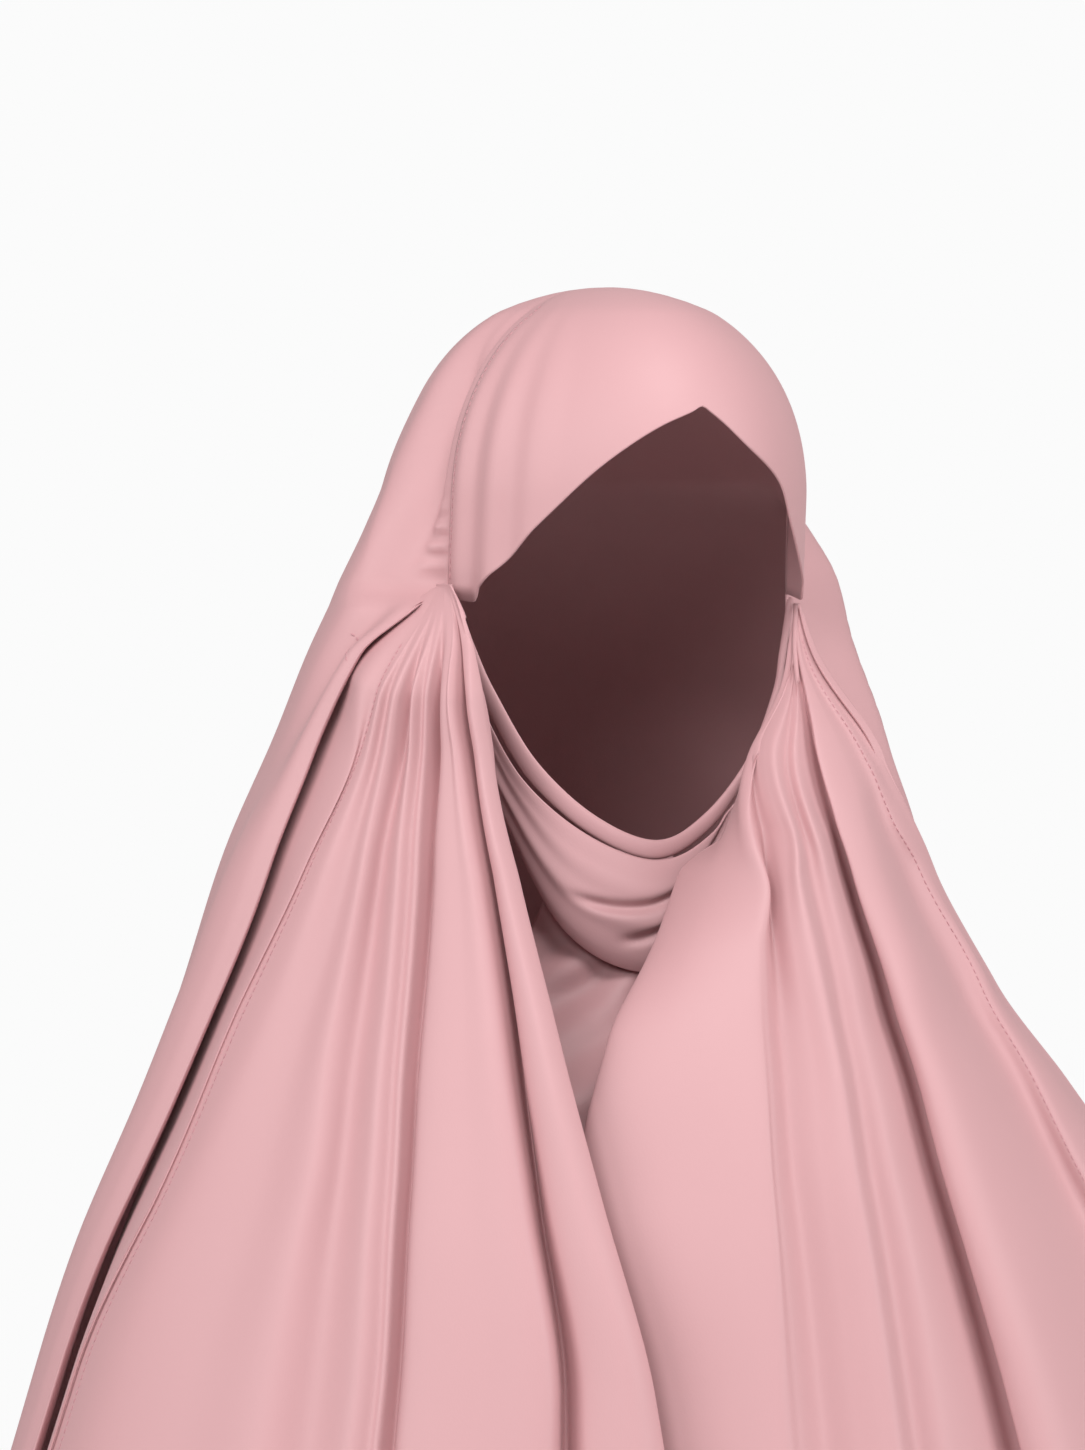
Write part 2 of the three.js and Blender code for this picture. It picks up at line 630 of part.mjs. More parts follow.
const drapeLevels = [1.004, 1.022, 1.04, 1.065, 1.095, 1.13, 1.17, 1.21, 1.255, 1.305, 1.36, 1.42, 1.49,
  1.58, 1.69, 1.82, 2];
const rightLines = foldLines(RIGHT_FOLDS.out.length, [0, 1, 4, 5, 6, 7, 12, 13, 16, 17]);
add("right_front_drape", cloth(rightDrape, rightLines, [0.992, ...drapeLevels], { flip: -1 }), ROSE);
const leftLines = foldLines(LEFT_FOLDS.b1.length, [1, 2, 4, 5, 7, 8, 9, 10, 13, 14, 15]);
const leftLevels = [1.012, 1.028, 1.05, 1.075, 1.1, 1.12, 1.14, 1.155, 1.17, 1.19, 1.21, 1.235, 1.26, 1.3,
  1.35, 1.41, 1.48, 1.57, 1.69, 1.83, 2];
add("left_front_drape", cloth(leftDrape, leftLines, leftLevels, { flip: -1 }), ROSE);

const cowlRows = between(COWL_FOLDS.down.map((_, row) => row), 2);
add("chin_cowl", cloth(cowl, steps(1, 9, 20), cowlRows, { flip: -1 }), ROSE_SHADE);
add("chin_hem", strip(chinHem, steps(0, 10, 30), 8), ROSE);
add("throat_panel", cloth(throat, steps(THROAT_NEAR, THROAT_FAR, 10), between(THROAT.level, 1),
  { flip: -1 }), ROSE_SHADE);

export default object;
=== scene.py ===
import math

import bmesh
import bpy
import numpy as np
from mathutils import Matrix, Vector


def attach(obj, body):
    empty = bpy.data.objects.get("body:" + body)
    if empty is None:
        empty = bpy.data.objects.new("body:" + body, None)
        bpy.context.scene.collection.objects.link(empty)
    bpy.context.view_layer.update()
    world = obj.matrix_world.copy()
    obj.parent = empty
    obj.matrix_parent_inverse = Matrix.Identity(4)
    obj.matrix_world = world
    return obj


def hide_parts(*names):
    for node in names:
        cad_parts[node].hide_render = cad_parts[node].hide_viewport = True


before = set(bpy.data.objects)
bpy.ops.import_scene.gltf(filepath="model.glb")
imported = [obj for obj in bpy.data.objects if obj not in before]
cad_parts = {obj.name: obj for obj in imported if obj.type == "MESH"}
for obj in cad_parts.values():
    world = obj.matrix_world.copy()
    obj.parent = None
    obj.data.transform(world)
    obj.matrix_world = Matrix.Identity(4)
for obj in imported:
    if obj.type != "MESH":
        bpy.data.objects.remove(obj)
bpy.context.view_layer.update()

MM = 0.001

# Sizes of the head part
HEAD_DROP = 122
HEAD_HALF = 77
BROW_REACH = 82
NAPE_REACH = 119

# Sizes of the hanging part
VEIL_DROP = 800
HEM_RIGHT = 325
HEM_LEFT = 335
HEM_FRONT = 208
HEM_BACK = 258

# Cloth
SHELL = 1.5
CREPE = 0.9
TUCK = 10
HEM_WIDE = 8
HEM_THICK = 3

# Seams, as places across their cloth, and the row of stitches above the hem as a level
CROWN_SEAM_BEARING = 87.5
RIGHT_SEAM_LINE = 3.18
LEFT_SEAM_LINE = 15.75
HEM_ROW = 1.986

# Short tack where the hood meets the right gather: from and to, across the hood and down it
TACK_LINES = (2.6, 0.5)
TACK_LEVELS = (1.026, 1.044)

# Stitches
STITCH_EVERY = 3.2
STITCH_LONG = 2.3
THREAD_RADIUS = 0.27
LIFT = 0.15


def table(names, rows):
    return {name: np.array(column, float) for name, column in zip(names.split(), zip(*rows))}


def slope_at(xs, ys, i):
    if i == 0 or i == len(xs) - 1:
        return 0.0
    before = (ys[i] - ys[i - 1]) / (xs[i] - xs[i - 1])
    after = (ys[i + 1] - ys[i]) / (xs[i + 1] - xs[i])
    return 0.0 if before * after <= 0 else 2 * before * after / (before + after)


def curve(xs, ys, x):
    """Smooth curve through the knots that never overshoots them."""
    if x <= xs[0]:
        return ys[0]
    if x >= xs[-1]:
        return ys[-1]
    i = int(np.searchsorted(xs, x, side="right")) - 1
    h = xs[i + 1] - xs[i]
    t = (x - xs[i]) / h
    rise = slope_at(xs, ys, i) * h * t * (1 - t) ** 2
    fall = slope_at(xs, ys, i + 1) * h * t * t * (1 - t)
    ease = t * t * (3 - 2 * t)
    return ys[i] * (1 - ease) + ys[i + 1] * ease + rise - fall


def curves(xs, ys, points):
    return np.array([curve(xs, ys, p) for p in points])


def across(values, u):
    """Rounded curve across a row of fold lines, one unit apart."""
    values = np.asarray(values, float)
    last = len(values) - 1
    i = np.clip(np.floor(u).astype(int), 0, last - 1)
    t = u - i
    b, c = values[i], values[i + 1]
    a = np.where(i > 0, values[np.maximum(i - 1, 0)], 2 * b - c)
    d = np.where(i + 2 <= last, values[np.minimum(i + 2, last)], 2 * c - b)
    cubic = (3 * (b - c) + d - a) * t**3
    square = (2 * a - 5 * b + 4 * c - d) * t**2
    return b + 0.5 * ((c - a) * t + square + cubic)


def smooth(x):
    t = np.clip(x, 0, 1)
    return t * t * (3 - 2 * t)


def mix(a, b, t):
    return a + (b - a) * t


def drop(level):
    """Levels count 0 at the crown, 1 at the temple and 2 at the hem."""
    return HEAD_DROP * min(1, level) + max(0, level - 1) * (VEIL_DROP - HEAD_DROP)


OUTLINE = table("level seat right left front back turn", [
    (0, -0.16, 0, 0, 0, 0, 0),
    (0.025, -0.12, 0.008, 0, 0, 0.01, 0),
    (0.1, 0.01, 0.036, 0, -0.03, 0.03, 0),
    (0.36, 0.05, 0.036, 0, -0.06, 0.01, 0),
    (0.64, 0.04, 0.062, 0, -0.05, 0, 0),
    (0.8, 0.02, 0.094, 0.092, -0.05, 0.03, -1),
    (1, 0, 0.142, 0.142, -0.063, 0.086, -2),
    (1.04, 0, 0.196, 0.172, -0.063, 0.14, -5),
    (1.09, 0, 0.252, 0.205, -0.063, 0.223, -8),
    (1.16, 0, 0.338, 0.215, 0.063, 0.33, -10),
    (1.24, 0, 0.412, 0.31, 0.25, 0.424, -12),
    (1.3, 0, 0.472, 0.43, 0.38, 0.496, -12),
    (1.39, 0, 0.57, 0.592, 0.52, 0.583, -12),
    (1.51, 0, 0.668, 0.745, 0.65, 0.705, -12),
    (1.73, 0, 0.84, 0.89, 0.85, 0.87, -12),
    (2, 0, 1, 1, 1, 1, -12),
])
DOME_DEEP = 0.72
DOME_POWER = 2.1
EGG = 0.07


def by_height(levels, values, level):
    """Curve read by height, so it runs past the temple without a kink."""
    return curve(np.array([drop(knot) for knot in levels]), values, drop(level))


def outline(name, level):
    return by_height(OUTLINE["level"], OUTLINE[name], level)


def dome(level):
    rest = 1 - min(1, max(0, level) / DOME_DEEP)
    return (1 - rest**DOME_POWER) ** (1 / DOME_POWER)


def seat(level):
    return -BROW_REACH * outline("seat", level)


def side(level, name, head, hem):
    return max(0.01, dome(level) * head + outline(name, level) * (hem - head))


def reach(level, bearing):
    """Distance from the middle of the section to the outline at each bearing from the front."""
    angle = np.radians(bearing - outline("turn", level))
    s, c = np.sin(angle), np.cos(angle)
    right = side(level, "right", HEAD_HALF, HEM_RIGHT)
    left = side(level, "left", HEAD_HALF, HEM_LEFT)
    front = side(level, "front", BROW_REACH + seat(level), HEM_FRONT)
    back = side(level, "back", NAPE_REACH - seat(level), HEM_BACK)
    round_reach = 1 / np.hypot(s / np.where(s < 0, right, left), c / np.where(c > 0, front, back))
    return round_reach * egg(bearing, level)


def egg(bearing, level):
    """A head is narrower from brow to temple than an even oval."""
    angle = np.radians(bearing)
    narrow = EGG * (1 - smooth((level - 1) / 0.1)) * np.sin(2 * angle) ** 2
    return np.where(np.cos(angle) > 0, 1 - narrow, 1)


def at(level, bearing, radius):
    """Points at a distance from the middle of the section."""
    angle = np.radians(bearing)
    x = radius * np.sin(angle)
    y = seat(level) - radius * np.cos(angle)
    return np.stack([x, y, np.full_like(x, SHELL - drop(level))], -1)


# Front edges of the hood, on the wearer's right (near) and left (far)
HOOD_EDGE = table("level near far out_near out_far cover roll swell", [
    (0, -90, -270, 0, 0, 0, 0, 26),
    (0.5, -90, -270, 0, 0, 0, 0, 24),
    (0.8, -90, -270, 0, 0, 0, 0, 16),
    (1, -90, -270, 0, 0, 0, 0, 11),
    (1.012, -84, -270, 0.5, 0, 0, 0.5, 11),
    (1.04, -86.5, -273, 0.93, 0, 2, 1, 11),
    (1.1, -89.4, -284, 1, 0.3, 4, 1, 14),
    (1.17, -89.8, -300, 1, 1, 0, 1, 20),
    (1.25, -92.6, -303, 1, 1, 0, 1, 20),
    (1.35, -96, -302, 1, 1, 0, 1, 20),
    (1.46, -101, -298, 1, 1, 0, 1, 20),
    (2, -110, -294, 1, 1, 0, 1, 20),
])
HOOD_FOLDS = table("share cap temple chest elbow hem", [
    (0, 0, 0, -1, -1, -1),
    (0.014, 0.6, 1, 3, 3, 4),
    (0.04, -18, -10, 4, 5, 6),
    (0.075, 0, 0, -1, -3, -5),
    (0.14, 1, 1, 1, 2, 4),
    (0.2, 0, 0, -5, -8, -12),
    (0.26, 1, 1, 3, 5, 9),
    (0.34, 0, 0, -4, -9, -13),
    (0.42, 0, 0, 3, 8, 12),
    (0.5, 0, 0, -3, -8, -12),
    (0.58, 0, 0, 3, 8, 12),
    (0.66, 0, 0, -4, -9, -12),
    (0.74, 0, 0, 3, 7, 11),
    (0.82, 0, 0, -2, -5, -8),
    (0.88, 0, 0, 0, 0, 2),
    (0.94, 0, 0, -7, -8, -9),
    (1, 0, 0, -TUCK, -TUCK, -TUCK),
])
HOOD_HEIGHTS = np.array([0.5, 1, 1.2, 1.46, 2])


def hood(us, level):
    near, far, roll, cover, out_near, out_far, wide = (
        by_height(HOOD_EDGE["level"], HOOD_EDGE[name], level)
        for name in ("near", "far", "roll", "cover", "out_near", "out_far", "swell")
    )
    turned = np.maximum(0, -us)
    place = across(HOOD_FOLDS["share"], np.maximum(0, us))
    allowance = 0.8 * (1 - roll) * np.maximum(0, 1 - np.abs(us))
    bearing = mix(near, far, place) - 2.5 * roll * turned**2 - allowance
    folds = zip(*(HOOD_FOLDS[name] for name in ("cap", "temple", "chest", "elbow", "hem")))
    outs = [by_height(HOOD_HEIGHTS, fold, level) for fold in folds]
    out = across(outs, np.maximum(0, us)) - 5 * roll * turned
    seam = HEAD_HALF * dome(level)
    from_near = mix(out_near, 1, smooth((near - bearing) / wide))
    from_far = mix(out_far, 1, smooth((bearing - far - cover) / wide))
    swell = np.minimum(from_near, from_far)
    dent = min(1, seam / HEAD_HALF)
    pucker = puckers(level, near - bearing) + pleat(level, near - bearing)
    return at(level, bearing, mix(seam, reach(level, bearing) + out * dent, swell) + pucker)


def pleat(level, behind):
    """A soft valley in the hood that runs down behind the crown seam, on the wearer's right."""
    middle = 17 - 10 * level
    depth = 9 * math.exp(-((level - 0.42) / 0.24) ** 2)
    return -depth * np.exp(-((behind - middle) / 4.5) ** 2)


def puckers(level, behind):
    """Small gathers where the hood is eased into the crown seam above the right temple."""
    depth = 2 * math.exp(-((level - 0.86) / 0.11) ** 2)
    wave = np.sin(level * HEAD_DROP * 2 * math.pi / 8)
    return depth * wave * np.exp(-((behind - 3) / 2.5) ** 2)


BROW = table("bearing level", [
    (-90, 1.006),
    (-77.5, 1.009),
    (-67.6, 0.95),
    (-53, 0.8),
    (-32, 0.6),
    (-14, 0.475),
    (-3, 0.425),
    (0, 0.41),
    (3, 0.43),
    (16, 0.54),
    (35, 0.67),
    (45, 0.8),
    (60, 0.93),
    (77.5, 1.009),
    (90, 1.006),
])
BAND_RIDGES = table("bearing out", [
    (-90, 0),
    (-84, 1.8),
    (-78, -1),
    (-70, 1.6),
    (-63, -0.4),
    (-56, 0.9),
    (-45, 0),
    (60, 0),
    (78, 0.8),
    (90, 0),
])


def band(bearings, share):
    spots = []
    for bearing in bearings:
        level = share * curve(BROW["bearing"], BROW["level"], bearing)
        seam = max(0.01, HEAD_HALF * dome(level))
        front = max(0.01, dome(level) * (BROW_REACH + seat(level)))
        angle = math.radians(bearing)
        radius = 1 / math.hypot(math.sin(angle) / seam, math.cos(angle) / front)
        ridge = curve(BAND_RIDGES["bearing"], BAND_RIDGES["out"], bearing)
        radius = radius * egg(bearing, level) + ridge * smooth(share * 2)
        spots.append(at(level, np.array([bearing]), radius)[0])
    return np.array(spots)


RIGHT_HEIGHTS = np.array([1.04, 1.1, 1.17, 1.25, 1.35, 1.46, 2])
RIGHT_FOLDS = np.array([
    (-97, -100, -102, -105, -108, -112, -120),
    (-89, -91.9, -92.3, -95.1, -98.5, -103.5, -112.5),
    (-83.3, -82.1, -84, -87.9, -90.2, -95.8, -102.5),
    (-79.7, -81.2, -83.3, -87.1, -89.4, -95, -101),
    (-77.9, -78.7, -79.5, -81.4, -84, -87.1, -92),
    (-77.2, -77.9, -76.7, -76.3, -75.5, -77.2, -80),
    (-75.3, -75.5, -73.5, -71.7, -68.8, -68.9, -70),
    (-74.6, -74.8, -72.7, -69.5, -66, -64.6, -63),
    (-72.5, -71.7, -68.2, -64.5, -60.8, -58.9, -59.5),
    (-71.7, -71, -67.2, -63.2, -59.2, -57.1, -57),
    (-70.4, -69.6, -65.5, -61.6, -57.7, -55.8, -55.6),
    (-69.7, -68.9, -64.8, -60.9, -57, -55.1, -53.6),
    (-67.4, -66, -61.7, -57.8, -54.3, -52.3, -52),
    (-65.8, -63.5, -57.3, -51.8, -46.9, -43.4, -43),
    (-64.9, -61.8, -54, -46.6, -39.8, -34.8, -34),
    (-64.2, -61.1, -53.3, -45.9, -39.1, -33.8, -31),
    (-63.5, -60.4, -52.2, -43.9, -36.4, -30.4, -28),
    (-61.1, -57.8, -49, -39.8, -31.3, -24.1, -17),
    (-60.4, -57.1, -47.5, -37.5, -28.3, -20.6, -7),
    (-62.6, -59.3, -49.7, -39.7, -30.5, -22.8, -9.2),
])
RIGHT_OUTS = np.array([
    -14, -9.5, -0.5, -1.6, 1.5, -1.5, 1.5, -6, 1.5, -2,
    -1, -8.5, 2, 5, 5, -14, 0, 6, -1, -6,
])
LEFT_HEIGHTS = np.array([1.04, 1.1, 1.14, 1.17, 1.21, 1.26, 1.35, 1.46, 2])
LEFT_FOLDS = np.array([
    (56, 54, 45, 8, -11, -24, -30, -23, -9),
    (55, 52, 42, 4, -16, -28, -33.5, -26.5, -12.5),
    (45, 33, 20, 5, -9, -17, -22, -16, -5),
    (35, 19, 12, 8.8, 2, -1.6, -4.3, -4.8, 2),
    (35.6, 19.6, 12.6, 11.9, 6.1, 2.3, -0.5, -0.8, 7),
    (36.2, 20.2, 19.8, 15.7, 11.2, 7.1, 4.1, 4, 13),
    (36.8, 20.8, 20.4, 16.3, 12.6, 10.6, 7.6, 7.5, 16),
    (37.4, 22.8, 21, 17, 15, 13.3, 11.3, 11.4, 19),
    (38, 29.8, 26.8, 24, 21.3, 18.6, 16, 15.7, 21.5),
    (38.6, 31, 27.7, 26.6, 24.6, 21.7, 19.2, 19.2, 26),
    (39.2, 35.4, 33.5, 32.8, 30.6, 27.6, 25.8, 26.5, 31),
    (42, 41.4, 39.8, 40.7, 38.6, 35, 31.5, 32.2, 35.5),
    (42.6, 43.7, 41.1, 41.3, 39.2, 35.6, 32.1, 32.8, 38),
    (41.5, 38.7, 35.6, 33.9, 32.2, 29.9, 27.7, 29, 36.5),
    (43.7, 45.3, 41.9, 39.8, 36.6, 32.8, 31.1, 32.5, 44),
    (47.4, 52.1, 52.5, 55, 55.2, 53.5, 50.8, 50.6, 55),
    (49.2, 54, 55.4, 59.9, 60.4, 56.7, 53, 55.9, 63),
    (53, 57, 60, 63, 63.5, 63.5, 65.5, 69, 73),
    (56, 60, 63, 66, 67, 66.5, 68, 71.5, 75.5),
    (54, 58.5, 61.5, 64.5, 65, 64.5, 66, 69.5, 73.5),
])
LEFT_OUTS = np.array([
    (-20, -34, -52, -48, -34, -24, -25, -25, -25),
    (-20, -32, -50, -45, -28, -16, -19, -20, -20),
    (-16, -25, -30, -24, -11, -5, -9, -9, -9),
    (-10, -12, -10, -6, 0, 3, 5, 6, 6),
    (-6, -5, -2, 0, 1, 2, 3, 3, 3),
    (-6, -8, -10, -9, -7, -5, -4, -4, -4),
    (-6, -2, 0, 1, 2, 1, 1, 1, 1),
    (-3, 2, 5, 7, 8, 8, 8, 8, 9),
    (-5, -3, -2, -1, 0, 0, 0, 0, 0),
    (-2, 0, 2, 2, 2, 2, 3, 3, 3),
    (-4, -3, -4, -4, -4, -4, -5, -5, -5),
    (-6, -8, -10, -12, -13, -13, -13, -14, -16),
    (-6, -9, -9, -8, -8, -8, -8, -8, -9),
    (-3, -2, -1, 1, 1, 1, 1, 1, 1),
    (-3, -2, 1, 4, 7, 8, 8, 9, 10),
    (-6, -6, -6, -6, -6.5, -7, -7.5, -9, -10),
    (-6, -6, -4, -2, 0, 1, 2, 3, 4),
    (-8, -8, -4, -1, 0, 0, 0, 0, 0),
    (-8, -8, -4, -1, 0, 0, 0, 0, 0),
    (-10, -10, -8, -5.3, -5.3, -5.3, -5.3, -5.3, -5.3),
])
RIGHT_GATHER = dict(x=-(HEAD_HALF + 7), back=-3.8, front=-18, opens=0.064, margin=0.05, even=0.2)
# The left drape is sewn along the face opening, as shares of the half head width and the brow reach
LEFT_SEAM = table("level x y", [
    (1, 1.035, -0.06),
    (1.0134, 1.028, -0.08),
    (1.042, 0.965, -0.12),
    (1.067, 0.888, -0.185),
    (1.109, 0.69, -0.27),
    (1.142, 0.39, -0.38),
    (1.16, 0.1, -0.44),
])


def drape(gather, bearing, out, place, level):
    """A drape hangs from a narrow gather at the temple and opens on to the outline."""
    opens = mix(gather["margin"], gather["opens"], np.minimum(1, place / gather["even"]))
    below = np.clip((level - 1) / opens, 0, 1)
    opened = 1 - (1 - below) ** 1.6
    hung = at(level, bearing, reach(level, bearing) + out)
    hung[:, 0] = mix(gather["x"], hung[:, 0], opened)
    hung[:, 1] = mix(mix(gather["back"], gather["front"], place), hung[:, 1], opened)
    return hung


def right_drape(us, level):
    bearings = [curve(RIGHT_HEIGHTS, row, level) for row in RIGHT_FOLDS]
    out = across(RIGHT_OUTS, us) * smooth((level - 1) / 0.08)
    return drape(RIGHT_GATHER, across(bearings, us), out, us / (len(bearings) - 1), level)


def left_gather(level):
    x = HEAD_HALF * curve(LEFT_SEAM["level"], LEFT_SEAM["x"], level)
    y = BROW_REACH * curve(LEFT_SEAM["level"], LEFT_SEAM["y"], level)
    return dict(x=x, back=y + 6, front=y, opens=0.2, margin=0.1, even=1)


def left_drape(us, level):
    bearings = [curve(LEFT_HEIGHTS, row, level) for row in LEFT_FOLDS]
    outs = [curve(LEFT_HEIGHTS, row, level) for row in LEFT_OUTS]
    place = 1 - us / (len(bearings) - 1)
    return drape(left_gather(level), across(bearings, us), across(outs, us), place, level)


CHIN = table("x y level lip_x lip_y lip_level bulge", [
    (-0.975, -0.07, 1.0134, -0.97, -0.05, 1.04, 0),
    (-0.91, -0.11, 1.042, -0.94, -0.06, 1.062, 1),
    (-0.835, -0.17, 1.067, -0.885, -0.07, 1.09, 2),
    (-0.633, -0.245, 1.109, -0.735, -0.11, 1.136, 4),
    (-0.33, -0.34, 1.142, -0.48, -0.34, 1.205, 8),
    (0, -0.415, 1.157, -0.1, -0.5, 1.229, 9),
    (0.33, -0.34, 1.142, 0.3, -0.44, 1.207, 6),
    (0.633, -0.245, 1.109, 0.6, -0.25, 1.157, 3),
    (0.835, -0.17, 1.067, 0.82, -0.15, 1.1, 1),
    (0.91, -0.11, 1.042, 0.91, -0.1, 1.062, 0),
    (0.975, -0.07, 1.0134, 0.96, -0.05, 1.04, 0),
])
COWL_FOLDS = table("down out", [
    (0, 0),
    (0.25, 1),
    (0.42, -1.2),
    (0.58, 1.2),
    (0.72, -1),
    (0.9, 0.6),
    (1, -1.5),
    (0.97, -5),
])


# Creases pulled to the wearer's left under the lip of the chin: places along the chin and down the cowl
COWL_CREASES = table("from_a from_down to_a to_down deep wide", [
    (3.9, 0.66, 6.1, 0.2, 3.2, 0.05),
    (4.5, 0.82, 6.3, 0.28, 3, 0.05),
    (5, 0.98, 6.5, 0.42, 2.4, 0.05),
])


def creased(a, down):
    """Depth of the creases at places along the chin, at one height."""
    total = np.zeros_like(a)
    for k in range(len(COWL_CREASES["deep"])):
        crease = {name: column[k] for name, column in COWL_CREASES.items()}
        along = (a - crease["from_a"]) / (crease["to_a"] - crease["from_a"])
        line = mix(crease["from_down"], crease["to_down"], along)
        near = np.exp(-((down - line) / crease["wide"]) ** 2)
        total += crease["deep"] * near * smooth(along * 5) * smooth((1.4 - along) * 2)
    return total


def chin_spots(a, x, y, level):
    """Points along the chin, from the right temple to the left one."""
    heights = across(CHIN[level], a)
    zs = SHELL - np.array([drop(h) for h in heights])
    return np.stack([HEAD_HALF * across(CHIN[x], a), BROW_REACH * across(CHIN[y], a), zs], -1)


def cowl(a, row):
    top = chin_spots(a, "x", "y", "level")
    fall = chin_spots(a, "lip_x", "lip_y", "lip_level") - top
    clear = HEM_WIDE / 2 / np.linalg.norm(fall, axis=1)
    down = mix(clear, 1, across(COWL_FOLDS["down"], np.array([row]))[0])
    bulge = across(CHIN["bulge"], a) * np.sin(math.pi * np.minimum(1, down) * 0.9)
    crease = across(COWL_FOLDS["out"], np.array([row]))[0]
    out = bulge + 0.35 * crease * smooth(a / 3) * smooth((10 - a) / 2) - creased(a, down)
    out += 1.3 * (1 - smooth((down - clear) * 5))  # the top edge is sewn to the face of the hem
    away = top * (1, 1, 0)
    away /= np.linalg.norm(away, axis=1)[:, None]
    return top + fall * down[:, None] + away * out[:, None]


def chin_hem(turns, a):
    centre = chin_spots(np.array([a]), "x", "y", "level")[0]
    lip = chin_spots(np.array([a]), "lip_x", "lip_y", "lip_level")[0]
    ends = chin_spots(np.array([a - 0.01, a + 0.01]), "x", "y", "level")
    down = (lip - centre) / np.linalg.norm(lip - centre)
    along = (ends[1] - ends[0]) / np.linalg.norm(ends[1] - ends[0])
    away = np.cross(down, along)
    away /= np.linalg.norm(away)
    wide = HEM_WIDE / 2 * np.cos(turns)
    thick = HEM_THICK / 2 * np.sin(turns)
    return centre + down * wide[:, None] + away * thick[:, None]


THROAT = table("level share", [
    (1.15, 0.2),
    (1.19, 0.27),
    (1.225, 0.347),
    (1.24, 0.37),
    (1.262, 0.47),
    (1.285, 0.58),
    (1.31, 0.66),
    (1.38, 0.74),
    (1.47, 0.77),
])


def throat(bearings, level):
    share = curve(THROAT["level"], THROAT["share"], level)
    pulled = 2.2 * np.sin((bearings + 900 * (level - 1.2)) * 0.16) * smooth((level - 1.2) / 0.03)
    seam = level - 1.262 - 0.00028 * (bearings + 15)
    stitched = 0.9 * np.exp(-((seam / 0.0016) ** 2))
    return at(level, bearings, reach(level, bearings) * share + pulled - stitched)


def along_seam(path, every, stitch):
    """Middle points and directions of the stitches along a dense path."""
    steps = np.linalg.norm(np.diff(path, axis=0), axis=1)
    run = np.concatenate([[0], np.cumsum(steps)])
    starts = np.arange(every, run[-1] - stitch, every)
    ends = starts + stitch
    a = np.stack([np.interp(starts, run, path[:, k]) for k in range(3)], -1)
    b = np.stack([np.interp(ends, run, path[:, k]) for k in range(3)], -1)
    return zip(a, b)


def linear(code):
    """sRGB hex to linear colour."""
    parts = [int(code[i : i + 2], 16) / 255 for i in (0, 2, 4)]
    return [p / 12.92 if p <= 0.04045 else ((p + 0.055) / 1.055) ** 2.4 for p in parts] + [1]


def node(tree, kind, settings=(), links=()):
    """Adds a node, sets its sockets and properties and links its inputs."""
    made = tree.nodes.new(kind)
    for name, value in dict(settings).items():
        if name in made.inputs.keys():
            made.inputs[name].default_value = value
        else:
            setattr(made, name, value)
    for name, source in dict(links).items():
        tree.links.new(source, made.inputs[name])
    return made


def new_material(name):
    material = bpy.data.materials.new(name)
    material.use_nodes = True
    material.node_tree.nodes.clear()
    return material


def two_tone(tree, noise, shade):
    """Mixes two shades of one colour by a noise."""
    tone = node(tree, "ShaderNodeMix", {"data_type": "RGBA"}, {"Factor": noise.outputs["Fac"]})
    tone.inputs[6].default_value = linear(shade[0])
    tone.inputs[7].default_value = linear(shade[1])
    return tone.outputs[2]


def crepe(name, shade):
    """Polyester crepe, woven and piece dyed: matt with a faint satin bloom and a fine dry grain."""
    material = new_material(name)
    tree = material.node_tree
    cloth_map = node(tree, "ShaderNodeTexCoord").outputs["UV"]
    place = node(tree, "ShaderNodeTexCoord").outputs["Object"]
    grain = node(tree, "ShaderNodeTexNoise", {"Scale": 900.0, "Detail": 2.0}, {"Vector": cloth_map})
    cloud = node(tree, "ShaderNodeTexNoise", {"Scale": 9.0, "Detail": 3.0}, {"Vector": place})
    tone = two_tone(tree, cloud, shade)
    bump = node(tree, "ShaderNodeBump", {"Strength": 0.12, "Distance": 0.0003},
                {"Height": grain.outputs["Fac"]})
    surface = node(tree, "ShaderNodeBsdfPrincipled", {
        "Roughness": 0.56,
        "IOR": 1.5,
        "Specular IOR Level": 0.42,
        "Sheen Weight": 0.16,
        "Sheen Roughness": 0.45,
        "Sheen Tint": linear("f7dcdd"),
    }, {"Base Color": tone, "Normal": bump.outputs["Normal"]})
    node(tree, "ShaderNodeOutputMaterial", {}, {"Surface": surface.outputs[0]})
    return material


def thread(name, shade):
    """Spun polyester sewing thread, two plies twisted: a little brighter than the cloth it is dyed to."""
    material = new_material(name)
    tree = material.node_tree
    place = node(tree, "ShaderNodeTexCoord").outputs["Object"]
    twist = node(tree, "ShaderNodeTexNoise", {"Scale": 2500.0, "Detail": 1.0}, {"Vector": place})
    tone = two_tone(tree, twist, shade)
    surface = node(tree, "ShaderNodeBsdfPrincipled", {"Roughness": 0.5, "IOR": 1.5},
                   {"Base Color": tone})
    node(tree, "ShaderNodeOutputMaterial", {}, {"Surface": surface.outputs[0]})
    return material


ROSE_THREAD = thread("rose_sewing_thread", ("b67f86", "cb999e"))
ROSE_CREPE = crepe("rose_polyester_crepe", ("c29497", "c7999c"))


def object_from(name, bm, material):
    mesh = bpy.data.meshes.new(name)
    bm.to_mesh(mesh)
    bm.free()
    mesh.materials.append(material)
    piece = bpy.data.objects.new(name, mesh)
    bpy.context.scene.collection.objects.link(piece)
    return piece


